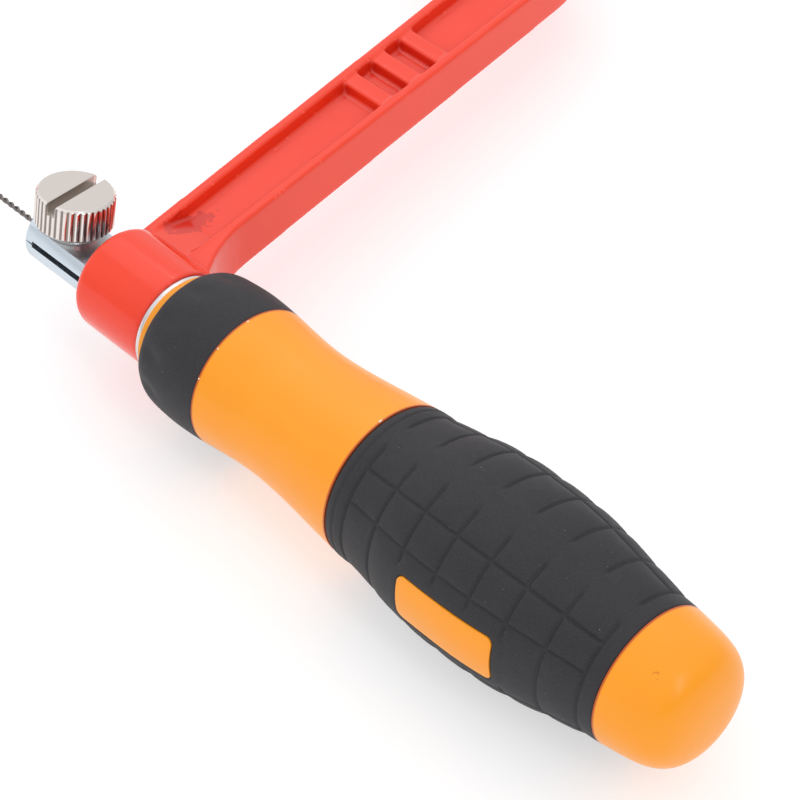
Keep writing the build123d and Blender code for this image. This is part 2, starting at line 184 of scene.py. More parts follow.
# %% The socket wrapper
class Value:
    """A shader socket that Python's operators work on."""

    def __init__(self, tree, socket):
        self.tree, self.socket = tree, socket

    def maths(self, operation, *terms):
        node = self.tree.nodes.new("ShaderNodeMath")
        node.operation = operation
        for socket, term in zip(node.inputs, terms):
            plug(self.tree, socket, term)
        return Value(self.tree, node.outputs[0])

    def __add__(self, other):
        return self.maths("ADD", self, other)

    def __sub__(self, other):
        return self.maths("SUBTRACT", self, other)

    def __rsub__(self, other):
        return self.maths("SUBTRACT", other, self)

    def __mul__(self, other):
        return self.maths("MULTIPLY", self, other)

    def __gt__(self, other):
        return self.maths("GREATER_THAN", self, other)

    def __lt__(self, other):
        return self.maths("LESS_THAN", self, other)

    def __abs__(self):
        return self.maths("ABSOLUTE", self)

    __radd__, __rmul__ = __add__, __mul__

    def eased(self, low, high):
        """0 at low and under, 1 at high and over, and smooth between them."""
        node = self.tree.nodes.new("ShaderNodeMapRange")
        node.interpolation_type = "SMOOTHSTEP"
        for name, term in (("Value", self), ("From Min", low), ("From Max", high)):
            plug(self.tree, node.inputs[name], term)
        return Value(self.tree, node.outputs[0])


def plug(tree, socket, term):
    """Links a Value to a socket, or sets the socket to a plain number, colour or vector."""
    if isinstance(term, Value):
        tree.links.new(term.socket, socket)
    else:
        socket.default_value = term


# %% The finish builder
class Finish:
    """One material: its constants sit on the shader's own sockets, and the rest is linked."""

    def __init__(self, name, **constants):
        self.material = bpy.data.materials.new(name)
        self.material.use_nodes = True
        self.tree = self.material.node_tree
        self.shader = self.tree.nodes["Principled BSDF"]
        for socket, value in constants.items():
            self.shader.inputs[socket.replace("_", " ")].default_value = value

    def node(self, kind, settings=None, sockets=None, output=0):
        node = self.tree.nodes.new(kind)
        for name, value in (settings or {}).items():
            setattr(node, name, value)
        for name, term in (sockets or {}).items():
            plug(self.tree, node.inputs[name], term)
        return Value(self.tree, node.outputs[output])

    def point(self):
        """The place on the piece, in metres."""
        return self.node("ShaderNodeTexCoord", output="Object")

    def vector(self, operation, *terms, output=0):
        """One Vector Math node."""
        sockets = dict(enumerate(terms))
        return self.node("ShaderNodeVectorMath", {"operation": operation}, sockets, output)

    def reach(self, place, stretch=(1, 1, 1)):
        """Distance from a place, in metres, which grows more slowly along a stretched axis."""
        shrink = [1 / s for s in stretch]
        point = self.vector("MULTIPLY", self.point(), shrink)
        target = [a * b for a, b in zip(place, shrink)]
        return self.vector("DISTANCE", point, target, output="Value")

    def noise(self, size, detail=2.0, roughness=0.5, stretch=(1, 1, 1)):
        """Smooth noise whose lumps are about size metres across, longer along a stretched axis."""
        scale = [1 / (size * s) for s in stretch]
        place = self.vector("MULTIPLY", self.point(), scale)
        sockets = {"Vector": place, "Scale": 1.0, "Detail": detail, "Roughness": roughness}
        return self.node("ShaderNodeTexNoise", None, sockets)

    def specks(self, spacing, reach):
        """1 inside small round specks and 0 elsewhere. They are about spacing metres apart, and reach is
        their radius as a share of that."""
        sockets = {"Vector": self.point(), "Scale": 1 / spacing}
        far = self.node("ShaderNodeTexVoronoi", None, sockets)
        return 1 - far.eased(reach * 0.6, reach)

    def blend(self, share, colour_a, colour_b):
        """colour_a where share is 0 and colour_b where it is 1."""
        node = self.tree.nodes.new("ShaderNodeMix")
        node.data_type = "RGBA"
        for index, term in ((0, share), (6, colour_a), (7, colour_b)):    # 6, 7 and 2 are its colours
            plug(self.tree, node.inputs[index], (*term, 1) if isinstance(term, tuple) else term)
        return Value(self.tree, node.outputs[2])

    def colour(self, term):
        plug(self.tree, self.shader.inputs["Base Color"], term)

    def rough(self, term):
        plug(self.tree, self.shader.inputs["Roughness"], term)

    def relief(self, height, depth):
        """Bumps of depth metres, where height runs from 0 to 1."""
        sockets = {"Height": height, "Strength": 1.0, "Distance": depth}
        plug(self.tree, self.shader.inputs["Normal"], self.node("ShaderNodeBump", None, sockets))


print("shader helpers are ready")

# %% [markdown]
# ## Red paint on cast metal
# The frame is a die casting under thick gloss paint. The paint has a faint orange peel. Its colour holds
# painted shade, darker red in corners, and a painted reflection of the wall beside it, a ragged darker
# patch at the foot of the rear arm. Its edges carry a painted highlight of lighter red, with tiny pale
# specks that stand partly for chips that show the metal's undercoat and partly for painted glints.
# Ambient occlusion finds the corners, and Pointiness finds the edges, because the casting's mesh is fine
# and even.

# %% Frame paint
# the painted dark reflection's middle, at the rear arm's foot, and its shape, which is longest along the arm
DARK_REFLECTION_MIDDLE = Vector((NOSE_X - 17.1 * MM, LINE_Y + 15.7 * MM, LINE_Z + 3.0 * MM))
DARK_REFLECTION_STRETCH = (1, 2.2, 2)
DARK_REFLECTION_RAGGED = 4.0 * MM           # how far noise moves its edge, from one side to the other
CORNER_REACH = 6 * MM           # a wall nearer than this makes a corner


def make_frame_paint():
    """Red gloss paint: painted shade and a painted reflection, and on edges a painted highlight and specks."""
    paint = Finish("frame_paint", IOR=1.46)
    sharpness = paint.node("ShaderNodeNewGeometry", output="Pointiness")
    drift = paint.noise(14 * MM, detail=3)
    red = paint.blend(drift, (0.87, 0.041, 0.011), (0.95, 0.054, 0.017))
    open_air = paint.node("ShaderNodeAmbientOcclusion", {"samples": 6}, {"Distance": CORNER_REACH}, "AO")
    # painted shade: the red darkens in corners, where ambient occlusion finds a wall near
    painted_shade_red = paint.blend(open_air.eased(0.35, 0.92), (0.56, 0.014, 0.006), red)
    # painted reflection: a ragged darker patch at the rear arm's foot stands for the dark wall mirrored in the
    # gloss
    ragged = DARK_REFLECTION_RAGGED * (paint.noise(1.4 * MM, detail=4, roughness=0.65) - 0.5)
    dark_reflection = 1 - (paint.reach(DARK_REFLECTION_MIDDLE, DARK_REFLECTION_STRETCH) + ragged).eased(2.0 * MM, 2.5 * MM)
    painted_shade_red = paint.blend(0.65 * dark_reflection, painted_shade_red, (0.55, 0.012, 0.006))
    on_edge = sharpness.eased(0.515, 0.56)      # 0.5 is flat
    # painted highlight: lighter red along the edges
    edge_highlighted = paint.blend(0.7 * on_edge, painted_shade_red, (0.97, 0.090, 0.050))
    # pale specks along the edges: partly chips that show the undercoat, partly painted glints
    chips_and_glints = paint.specks(0.8 * MM, 0.11) * on_edge * paint.noise(7 * MM).eased(0.55, 0.6)
    paint.colour(paint.blend(chips_and_glints, edge_highlighted, (0.85, 0.55, 0.50)))
    paint.rough(0.1 + 0.1 * paint.noise(3 * MM))
    peel = 0.5 * paint.noise(0.5 * MM, detail=1.5) + paint.noise(2.4 * MM, detail=1.0)
    ripples = 3 * paint.noise(5 * MM, detail=4, roughness=0.7)
    paint.relief(peel + ripples * (1 - open_air.eased(0.5, 0.9)), 0.012 * MM)
    return paint.material


frame_paint = make_frame_paint()
print(frame_paint.name, len(frame_paint.node_tree.nodes), "nodes")

# %% [markdown]
# ## Two plastics
# The handle's core is smooth orange plastic with a soft shine, a gate mark on its dome where the melt
# came in, and a thin dark line where black meets it. The collar and the grip are a soft black moulding
# over it: matte, very finely grained, with the few pale specks of dust that cling to such rubber.

# %% Handle plastics
GATE_MARK = Vector((NOSE_X + 110.5 * MM, LINE_Y - 6.0 * MM, LINE_Z + 9.4 * MM))   # on the dome
SEAM_CORE, SEAM_EDGE = 0.12 * MM, 0.5 * MM         # a seam's line is full to here, and gone from here


def make_core_plastic(seams):
    """Orange plastic with a thin dark red line at each seam, which is a station along the core."""
    plastic = Finish("core_plastic", IOR=1.43)
    drift = plastic.noise(11 * MM, detail=3)
    orange = plastic.blend(drift, (0.98, 0.325, 0.006), (1.0, 0.360, 0.013))
    station = plastic.node("ShaderNodeSeparateXYZ", None, {0: plastic.point()})
    for seam in seams:
        gap = station - seam
        near = 1 - abs(gap).eased(SEAM_CORE, SEAM_EDGE)
        orange = plastic.blend(0.85 * near, orange, (0.42, 0.035, 0.008))
    gate = plastic.reach(GATE_MARK)
    ring = gate.eased(0.35 * MM, 0.5 * MM) * (1 - gate.eased(0.55 * MM, 0.75 * MM))
    crescent = ring * plastic.noise(0.9 * MM).eased(0.5, 0.55)
    plastic.colour(plastic.blend(0.6 * crescent, orange, (0.55, 0.13, 0.010)))
    plastic.rough(0.26 + 0.1 * plastic.noise(2.5 * MM, detail=3))
    plastic.relief(plastic.noise(1.1 * MM), 0.004 * MM)
    return plastic.material


def make_soft_black():
    """Matte black with a very fine grain and a few specks of dust."""
    rubber = Finish("soft_black", IOR=1.45)
    drift = rubber.noise(8 * MM, detail=4)
    black = rubber.blend(drift, (0.015, 0.0145, 0.018), (0.022, 0.021, 0.025))
    grain = rubber.noise(0.2 * MM).eased(0.45, 0.75)
    grained = rubber.blend(grain, black, (0.031, 0.030, 0.034))
    dust = rubber.specks(1.7 * MM, 0.055) * rubber.noise(6 * MM).eased(0.48, 0.58)
    rubber.colour(rubber.blend(dust, grained, (0.20, 0.20, 0.21)))
    rubber.rough(0.55 + 0.12 * rubber.noise(1.5 * MM, detail=3))
    rubber.relief(rubber.noise(0.22 * MM), 0.012 * MM)
    return rubber.material


def core_seams():
    """Where black meets orange, as stations in the core's own coordinates."""
    to_core = nodes["handle_core"].matrix_world.inverted()
    ends = (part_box("handle_collar")[1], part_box("handle_grip")[0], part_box("handle_grip")[1])
    return [(to_core @ Vector((end.x, LINE_Y, LINE_Z))).x for end in ends]


core_plastic, soft_black = make_core_plastic(core_seams()), make_soft_black()
print("handle finishes:", core_plastic.name, soft_black.name)

# %% [markdown]
# ## Metals
# The studs are zinc plated: bluish white and satin, with faint lines along the bar. The thumbscrews are
# nickel plated: warm, satin on the turned top, bright on the flutes. Their colour holds painted shade:
# the top is painted darker than the flutes, and the flutes' valleys and the slot are painted darker
# still. One material does it all by asking which way the surface faces and where it is. The washers
# and the cap nut are plainly bright, the wire is dark bare steel, and the insert, which is hidden in
# the handle, is plain grey steel.

# %% Metal finishes
def make_plated(name, colour, roughness, line_size, line_depth, stretch):
    """A plated metal with fine lines along one axis."""
    metal = Finish(name, Metallic=1.0)
    lines = metal.noise(line_size, detail=3, stretch=stretch)
    lighter = tuple(min(1.0, 1.06 * c) for c in colour)
    metal.colour(metal.blend(lines, colour, lighter))
    metal.rough(roughness + 0.12 * metal.noise(1.8 * MM, detail=3))
    metal.relief(lines, line_depth)
    return metal.material


HEAD_RADIUS = 6.78 * MM         # the thumbscrews' heads
HEAD_START = 4.57 * MM          # from the wire's line, along the screw
HEAD_HEIGHT = 6.3 * MM
FLUTE_DEPTH = 0.23 * MM


def make_nickel(screw_axis):
    """Satin, and painted darker as shade, where it faces along the axis; shinier elsewhere; painted shade in
    valleys and slot.
    """
    metal = Finish("nickel_steel", Metallic=1.0)
    normal = metal.node("ShaderNodeNewGeometry", output="Normal")
    facing = metal.vector("DOT_PRODUCT", normal, screw_axis, output="Value")
    # the top is satin, so rougher, and its colour is also painted darker as painted shade
    satin_and_shaded_top = facing.eased(0.8, 0.95)
    across = metal.vector("MULTIPLY", metal.point(), (1, 1, 0))
    radius = metal.vector("LENGTH", across, output="Value")
    valley = 1 - radius.eased(HEAD_RADIUS - 0.85 * FLUTE_DEPTH, HEAD_RADIUS - 0.45 * FLUTE_DEPTH)
    on_rim = radius > HEAD_RADIUS - 1.2 * FLUTE_DEPTH
    sideways = 1 - (facing * facing).eased(0.05, 0.3)
    # painted shade: a darker colour in the flutes' valleys
    in_flutes = valley * on_rim * sideways
    height = metal.node("ShaderNodeSeparateXYZ", None, {0: metal.point()}, "Z")
    # painted shade: a darker colour in the slot
    in_slot = (radius < HEAD_RADIUS - 0.8 * MM) * (height < HEAD_START + HEAD_HEIGHT - 0.1 * MM)
    drift = metal.noise(2.0 * MM, detail=3)
    flutes_and_valley_shade = metal.blend(in_flutes, (0.80, 0.74, 0.70), (0.26, 0.215, 0.195))
    top = metal.blend(satin_and_shaded_top, flutes_and_valley_shade, (0.62, 0.572, 0.53))
    metal.colour(metal.blend(in_slot, top, (0.52, 0.47, 0.43)))
    metal.rough(0.14 + 0.08 * drift + 0.24 * satin_and_shaded_top)
    metal.relief(metal.noise(0.25 * MM, detail=3), 0.004 * MM)
    return metal.material


SCREW_AXIS = Vector(joints["rear_screw_turn"]["axis"])
nickel_steel = make_nickel(tuple(SCREW_AXIS))
zinc_steel = make_plated("zinc_steel", (0.60, 0.67, 0.73), 0.26, 0.12 * MM, 0.004 * MM, (40, 1, 1))
bright_steel = make_plated("bright_steel", (0.68, 0.645, 0.645), 0.16, 0.15 * MM, 0.003 * MM, (1, 6, 6))
wire_steel = make_plated("wire_steel", (0.20, 0.18, 0.17), 0.28, 0.10 * MM, 0.006 * MM, (3, 1, 1))
insert_steel = make_plated("insert_steel", (0.58, 0.58, 0.58), 0.35, 0.20 * MM, 0.004 * MM, (1, 1, 1))
print("metals:", [m.name for m in (nickel_steel, zinc_steel, bright_steel, wire_steel, insert_steel)])

# %% Give each CAD node its finish
FINISHES = {
    "frame_paint": frame_paint,
    "core_plastic": core_plastic,
    "soft_black": soft_black,
    "nickel_steel": nickel_steel,
    "zinc_steel": zinc_steel,
    "bright_steel": bright_steel,
    "wire_steel": wire_steel,
    "insert_steel": insert_steel,
}
for part in frame["record"]["subparts"]:
    node = nodes[part["node"]]
    node.data.materials.clear()
    node.data.materials.append(FINISHES[part["material_slot"]])
print(len(nodes), "nodes have a finish")

# %% [markdown]
# ## The frame as a casting
# The CAD frame has sharp edges, and a painted casting has none. A voxel remesh turns it into fine even
# quads, and a few rounds of smoothing then roll every edge and fill every corner a little, as the
# mould and the paint do. All are modifiers, so the CAD mesh itself stays as it is. The imported mesh
# has doubled points along its edges, so a Weld joins them before anything else.

# %% Roll the frame's edges
CAST_VOXEL = 0.19 * MM
CAST_SMOOTHING = 40             # rounds
WELD_REACH = 0.002 * MM


def weld_skin(node):
    weld = node.modifiers.new("one_skin", "WELD")
    weld.merge_threshold = WELD_REACH


def make_cast(node, voxel, rounds):
    weld_skin(node)
    remesh = node.modifiers.new("even_quads", "REMESH")
    remesh.mode = "VOXEL"
    remesh.voxel_size = voxel
    remesh.use_smooth_shade = True
    rolled = node.modifiers.new("rolled_edges", "SMOOTH")
    rolled.factor = 0.5
    rolled.iterations = rounds


make_cast(nodes["frame"], CAST_VOXEL, CAST_SMOOTHING)
print("the frame is remeshed at", round(CAST_VOXEL / MM, 2), "mm")

# %% [markdown]
# ## Turned and pressed metal
# The studs, the cap nut and the washers are machined, so their edges stay crisp with just a hairline
# chamfer that catches the light. The thrust washer's is wider. A Bevel that only looks at sharp angles
# cuts it.

# %% Chamfer the small metal pieces
SHARP_ANGLE = math.radians(32)
EDGE_CHAMFER = {                # mm
    "rear_clamp_stud": 0.14,
    "front_clamp_stud": 0.14,
    "front_cap_nut": 0.12,
    "front_lock_washer": 0.12,
    "thrust_washer": 0.28,
    "rear_screw_washer": 0.10,
    "front_screw_washer": 0.10,
}


def chamfer_edges(node, width):
    weld_skin(node)
    bevel = node.modifiers.new("hairline", "BEVEL")
    bevel.width = width
    bevel.segments = 2
    bevel.limit_method = "ANGLE"
    bevel.angle_limit = SHARP_ANGLE
    bevel.harden_normals = True


for name, width in EDGE_CHAMFER.items():
    chamfer_edges(nodes[name], width * MM)
print("chamfered:", ", ".join(EDGE_CHAMFER))

# %% [markdown]
# ## Helpers for round pieces
# The collar, the grip, the screws and the wire are all grids of points wrapped round a line. One
# helper joins rows of points with quads. Another asks the CAD node how far its skin is from the
# handle's line, by casting a ray down onto it, so the new skins follow the CAD outline.

# %% Grid and skin helpers
def add_piece(name, points, faces, material, body, stands_for=None):
    """Makes a smooth-shaded piece, puts it on its body and may let it stand for a CAD node."""
    mesh = bpy.data.meshes.new(name)
    mesh.from_pydata([tuple(p) for p in points], [], faces)
    mesh.shade_smooth()
    mesh.materials.append(material)
    piece = bpy.data.objects.new(name, mesh)
    bpy.context.scene.collection.objects.link(piece)
    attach(piece, body)
    if stands_for:
        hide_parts(stands_for)
    return piece


def ring_faces(rows, columns, start=0):
    """Quads between rows of points, each row closed on itself."""
    faces = []
    for i in range(rows - 1):
        for j in range(columns):
            k = (j + 1) % columns
            a, b = start + i * columns, start + (i + 1) * columns
            faces.append((a + j, a + k, b + k, b + j))
    return faces


def end_caps(first, after_last, columns):
    """One face over the first row of a closed grid and one over its last."""
    return [
        tuple(range(first, first + columns))[::-1],
        tuple(range(after_last - columns, after_last)),
    ]


RAY_START = 40 * MM             # above the handle's line, clear of the saw
RAY_INSET = 0.02 * MM           # keeps the first and last rays off the node's end faces
OUTLINE_DEGREE = 9


def skin_radius(node, station):
    """How far the CAD node's skin is from the handle's line, straight up from it."""
    far_above = Vector((station, LINE_Y, LINE_Z + RAY_START))
    found, place, _, _ = node.ray_cast(far_above, Vector((0, 0, -1)))
    assert found, f"no skin at {station}"
    return place.z - LINE_Z


def skin_outline(name, stations):
    """The radius at each station, with the CAD mesh's facets ironed out by a smooth curve."""
    low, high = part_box(name)
    inside = np.clip(stations, low.x + RAY_INSET, high.x - RAY_INSET)
    radii = np.array([skin_radius(nodes[name], x) for x in inside])
    outline = np.polynomial.Chebyshev.fit(stations, radii, OUTLINE_DEGREE)(stations)
    print(f"{name}: outline from {outline.min() / MM:.2f} to {outline.max() / MM:.2f} mm")
    return outline


def around(station, turn, radius):
    """A point on the handle: turn is counted from straight up, towards the side away from the frame."""
    return station, LINE_Y - radius * np.sin(turn), LINE_Z + radius * np.cos(turn)


print("helpers for round pieces are ready")

# %% [markdown]
# ## The collar
# A soft black ring guards the front of the handle. Its front edge is well rounded, and a row of
# shallow thumb dents runs round it. It is a lathe outline with the dents subtracted from the radius,
# and it closes on the orange neck inside.

# %% Collar
COLLAR_NECK = 9.5 * MM          # radius of the core under the collar
COLLAR_ROWS, COLLAR_COLUMNS = 60, 240
COLLAR_FRONT_ROUND = 1.1 * MM
COLLAR_BACK_ROUND = 0.35 * MM
DENTS = 12
DENT_FIRST = math.radians(36.5)
DENT_STATION = 6.0 * MM         # from the nose
DENT_DEPTH = 0.45 * MM
DENT_LENGTH, DENT_WIDTH = 2.3 * MM, 1.5 * MM
END_CROWDING = 2.6              # rows crowd towards the collar's ends: more as this nears 2


def rounded_end(distance, radius):
    """How far a quarter-round edge lies under the outline, at a distance from the end."""
    t = np.clip(1 - distance / radius, 0, 1)
    return radius * (1 - np.sqrt(1 - t * t))


def make_collar():
    """The collar's outside as a lathe outline less its dents, then its inside along the neck."""
    low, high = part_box("handle_collar")
    even = np.linspace(0, 1, COLLAR_ROWS)
    crowded_ends = even - np.sin(2 * math.pi * even) / (END_CROWDING * math.pi)
    stations = low.x + (high.x - low.x) * crowded_ends
    outline = skin_outline("handle_collar", stations)
    outline -= rounded_end(stations - low.x, COLLAR_FRONT_ROUND)
    outline -= rounded_end(high.x - stations, COLLAR_BACK_ROUND)
    turns = np.linspace(0, 2 * math.pi, COLLAR_COLUMNS, endpoint=False)
    pitch = 2 * math.pi / DENTS
    off = (turns - DENT_FIRST + pitch / 2) % pitch - pitch / 2
    points = []
    for station, radius in zip(stations, outline):
        along = (station - NOSE_X - DENT_STATION) / DENT_LENGTH
        dents = DENT_DEPTH * np.exp(-along ** 2 - (off * radius / DENT_WIDTH) ** 2)
        points += zip(*around(np.full(len(turns), station), turns, radius - dents))
    for station in (high.x, low.x):
        points += zip(*around(np.full(len(turns), station), turns, COLLAR_NECK))
    faces = ring_faces(COLLAR_ROWS + 2, COLLAR_COLUMNS)
    last = (COLLAR_ROWS + 1) * COLLAR_COLUMNS
    for j in range(COLLAR_COLUMNS):     # the front wall joins the last row to the first
        k = (j + 1) % COLLAR_COLUMNS
        faces.append((last + j, last + k, k, j))
    return add_piece("soft_collar", points, faces, soft_black, "handle", "handle_collar")


soft_collar = make_collar()
print(soft_collar.name, len(soft_collar.data.polygons), "faces")

# %% [markdown]
# ## The grip
# The grip is a sleeve of soft black moulding over the thick part of the core. Rings of grooves cross
# lengthwise ones, so the sleeve reads as rows of slightly pillowed tiles. A plain stripe runs along
# the top, a plain band closes each end, and an opening on each side shows the orange core.
# The sleeve is a grid whose lines crowd together at the grooves. Each pattern is a depth under the
# outline: where two grooves cross the deeper one counts, and the other patterns add to them. The
# openings are cut by leaving cells out and moving the cut's points onto its exact outline.

# %% Grip sizes
GRIP_FINE, GRIP_COARSE = 0.14 * MM, 0.8 * MM    # the grid's spacing at a groove and away from it
CROWD_FROM, CROWD_OVER = 0.35 * MM, 1.6 * MM    # it is fine up to here, and coarsens over this length
CROWD_SAMPLES = 20000
SKIN_CLEARANCE = 0.02 * MM      # the grip's skin stays this far under the CAD outline
GRIP_WALL = 1.8 * MM
GRIP_GIRTH = 14.5 * MM          # a middling radius, to turn angles into lengths
RING_FIRST = 53.2 * MM          # first ring groove, from the nose
RING_PITCH = 6.88 * MM
RINGS = 8
COLUMN_TURNS = [math.radians(a) for a in (36.6, 61.0, 119.0, 143.4, 168.0)]
GROOVE_WIDTH, GROOVE_DEPTH = 0.26 * MM, 0.32 * MM
PILLOW_WIDTH, PILLOW_DEPTH = 1.5 * MM, 0.20 * MM
LIP_STATION = 51.1 * MM         # a fainter line in the plain band at the front
LIP_DEPTH = 0.6 * GROOVE_DEPTH
STRIPE_TURN, STRIPE_HALF = math.radians(8.5), math.radians(12.5)
STRIPE_FADE = math.radians(6)   # the ring grooves fade out over this turn
WINDOW_MIDDLE = 77.15 * MM      # from the nose
WINDOW_LENGTH, WINDOW_HEIGHT = 19.1 * MM, 8.552 * MM
WINDOW_CORNER = 1.3 * MM
WINDOW_BORDER = 1.9 * MM        # the grooves stop about this far from a window
BORDER_FROM, BORDER_OVER = 0.7 * WINDOW_BORDER, 0.6 * WINDOW_BORDER
RIM_DEPTH, RIM_WIDTH = 0.22 * MM, 0.5 * MM      # a window's rim is rolled down
GRIP_END_ROUND = 0.45 * MM


# %% Grip patterns
def ease(t):
    """0 up to t = 0, 1 from t = 1, and smooth between them."""
    t = np.clip(t, 0, 1)
    return t * t * (3 - 2 * t)


def nearest_turn(turn, targets):
    """The smallest angle to any of the targets, either way round."""
    return np.min([np.abs((turn - t + math.pi) % (2 * math.pi) - math.pi) for t in targets], axis=0)


def window_distance(station, turn, radius):
    """Distance from a window's outline, less than 0 inside it. Both windows are seen from the side."""
    x = np.abs(station - NOSE_X - WINDOW_MIDDLE) - (WINDOW_LENGTH / 2 - WINDOW_CORNER)
    z = np.abs(radius * np.cos(turn)) - (WINDOW_HEIGHT / 2 - WINDOW_CORNER)
    outside = np.hypot(np.maximum(x, 0), np.maximum(z, 0))
    return outside + np.minimum(np.maximum(x, z), 0) - WINDOW_CORNER


def trough(distance):
    """A narrow groove with a wide shallow fall to it, which makes the tiles look pillowed."""
    narrow = GROOVE_DEPTH * np.exp(-(distance / GROOVE_WIDTH) ** 2)
    return narrow + PILLOW_DEPTH * np.exp(-(distance / PILLOW_WIDTH) ** 2)


def grip_sink(station, turn, radius):
    """How far the grip's surface lies under the CAD skin."""
    place = station - NOSE_X
    ring = np.clip(np.round((place - RING_FIRST) / RING_PITCH), 0, RINGS - 1)
    ring_gap = np.abs(place - RING_FIRST - ring * RING_PITCH)
    column_gap = radius * nearest_turn(turn, COLUMN_TURNS + [-t for t in COLUMN_TURNS])
    in_stripe = 1 - ease((nearest_turn(turn, [STRIPE_TURN]) - STRIPE_HALF) / STRIPE_FADE + 1)
    last_ring = RING_FIRST + (RINGS - 1) * RING_PITCH
    tiled = ease((place - RING_FIRST) / GROOVE_WIDTH + 1) * ease((last_ring - place) / GROOVE_WIDTH + 1)
    rings = trough(ring_gap) * (1 - in_stripe)
    columns = trough(column_gap) * tiled
    lip = LIP_DEPTH * np.exp(-((place - LIP_STATION) / GROOVE_WIDTH) ** 2)
    from_window = window_distance(station, turn, radius)
    clear = ease((from_window - BORDER_FROM) / BORDER_OVER)
    rim = RIM_DEPTH * ease(1 - from_window / RIM_WIDTH)
    return (np.maximum(rings, columns) + lip) * clear + rim


print(f"{RINGS} ring grooves, {2 * len(COLUMN_TURNS)} lengthwise ones")


# %% Grip grid
def crowded(low, high, places):
    """Grid lines from low to high: fine near the places and coarse elsewhere, all in metres."""
    line = np.linspace(low, high, CROWD_SAMPLES)
    gap = np.min([np.abs(line - place) for place in places], axis=0)
    spacing = GRIP_FINE + (GRIP_COARSE - GRIP_FINE) * ease((gap - CROWD_FROM) / CROWD_OVER)
    count = np.concatenate([[0], np.cumsum((line[1] - line[0]) / spacing[1:])])
    return np.interp(np.linspace(0, count[-1], int(count[-1]) + 1), count, line)


def grip_stations(low, high):
    """Where the sleeve's rows are: crowded at the ring grooves, the lip, the ends and the windows."""
    rings = [NOSE_X + RING_FIRST + i * RING_PITCH for i in range(RINGS)]
    lip_and_ends = [NOSE_X + LIP_STATION, low, high]
    windows = [NOSE_X + WINDOW_MIDDLE + side * WINDOW_LENGTH / 2 for side in (-1, 1)]
    return crowded(low, high, rings + lip_and_ends + windows)


def grip_turns():
    """Where its columns are: crowded at the lengthwise grooves and the windows."""
    half = math.asin(WINDOW_HEIGHT / 2 / GRIP_GIRTH)
    window = [math.pi / 2 - half, math.pi / 2 + half]
    turns = [side * turn for turn in COLUMN_TURNS + window for side in (-1, 1)]
    half_girth = math.pi * GRIP_GIRTH
    lines = crowded(-half_girth, half_girth, [turn * GRIP_GIRTH for turn in turns])
    return lines[:-1] / GRIP_GIRTH


# %% Grip sleeve
OUTLINE_STEP = 0.01 * MM        # for the slope of the distance from a window


def make_grip():
    """The grip as a sleeve of two skins, with both windows cut out."""
    low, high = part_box("handle_grip")
    stations, turns = grip_stations(low.x, high.x), grip_turns()
    outline = skin_outline("handle_grip", stations) - SKIN_CLEARANCE
    x, turn = np.meshgrid(stations, turns, indexing="ij")
    radius = np.repeat(outline[:, None], len(turns), axis=1)

    # a cell is left out where its middle is inside a window
    next_turn = turn + np.diff(turns, append=turns[0] + 2 * math.pi) / 2
    middles = (x[:-1] + x[1:]) / 2, (next_turn[:-1] + next_turn[1:]) / 2, (radius[:-1] + radius[1:]) / 2
    left_out = window_distance(*middles) < 0

    # the points on a cut's edge touch both kinds of cell; a few steps down the slope of the distance
    # move them onto the window's outline
    some, every = np.zeros(x.shape, bool), np.ones(x.shape, bool)
    for row_shift in (0, 1):
        for column_shift in (0, 1):
            cells = np.roll(left_out, column_shift, axis=1)
            block = slice(row_shift, row_shift + len(cells))
            some[block] |= cells
            every[block] &= cells
    edge = some & ~every
    for _ in range(3):
        gap = window_distance(x, turn, radius)
        slope_x = (window_distance(x + OUTLINE_STEP, turn, radius) - gap) / OUTLINE_STEP
        slope_turn = (window_distance(x, turn + OUTLINE_STEP / radius, radius) - gap) / OUTLINE_STEP
        x = np.where(edge, x - gap * slope_x, x)
        turn = np.where(edge, turn - gap * slope_turn / radius, turn)

    ends = rounded_end(np.minimum(x - low.x, high.x - x), GRIP_END_ROUND)
    outer = np.stack(around(x, turn, radius - grip_sink(x, turn, radius) - ends), axis=-1)
    inner = np.stack(around(x, turn, radius - GRIP_WALL), axis=-1)
    points = np.concatenate([outer.reshape(-1, 3), inner.reshape(-1, 3)])
    faces = sleeve_faces(left_out)
    return add_piece("tiled_grip", points, faces, soft_black, "handle", "handle_grip")


def sleeve_faces(left_out):
    """The quads of an outer and an inner grid, with walls at both ends and round what is left out."""
    rows, columns = left_out.shape[0] + 1, left_out.shape[1]
    inner = rows * columns
    faces = []
    for i in range(rows - 1):
        for j in range(columns):
            k = (j + 1) % columns
            a, b, c, d = i * columns + j, i * columns + k, (i + 1) * columns + k, (i + 1) * columns + j
            if not left_out[i, j]:
                faces.append((a, b, c, d))
                faces.append((inner + d, inner + c, inner + b, inner + a))
                continue
            sides = ((i - 1, j, a, b), (i + 1, j, c, d), (i, k, b, c), (i, (j - 1) % columns, d, a))
            for near_i, near_j, p, q in sides:
                if not left_out[near_i, near_j]:
                    faces.append((p, q, inner + q, inner + p))
    for j in range(columns):
        k = (j + 1) % columns
        end = (rows - 1) * columns
        faces.append((k, j, inner + j, inner + k))
        faces.append((end + j, end + k, inner + end + k, inner + end + j))
    return faces


tiled_grip = make_grip()
print(tiled_grip.name, len(tiled_grip.data.polygons), "faces")

# %% [markdown]
# ## Moulding flash
# Where two plastics are moulded together, a little of the melt gets out at the seam and leaves tiny
# pale flakes. A few of them sit on the edges of the black parts. Each is a ball stretched round the
# handle and half sunk in the core.

# %% Flash
FLAKES = (                      # station from the nose in mm, turn in degrees, length in mm
    (17.1, 1.5, 0.6),
    (17.1, 32.0, 0.45),
    (48.9, 6.0, 0.7),
    (16.95, 58.0, 0.35),
)
FLAKE_WIDTH, FLAKE_HEIGHT = 0.34 * MM, 0.36 * MM
FLAKE_RINGS, FLAKE_SIDES = 7, 10
BEHIND_COLLAR = 1.2 * MM        # a step back from the collar, where the core's skin is in the open
WAIST_FRONT = 20                # mm from the nose: flakes before it are at the collar


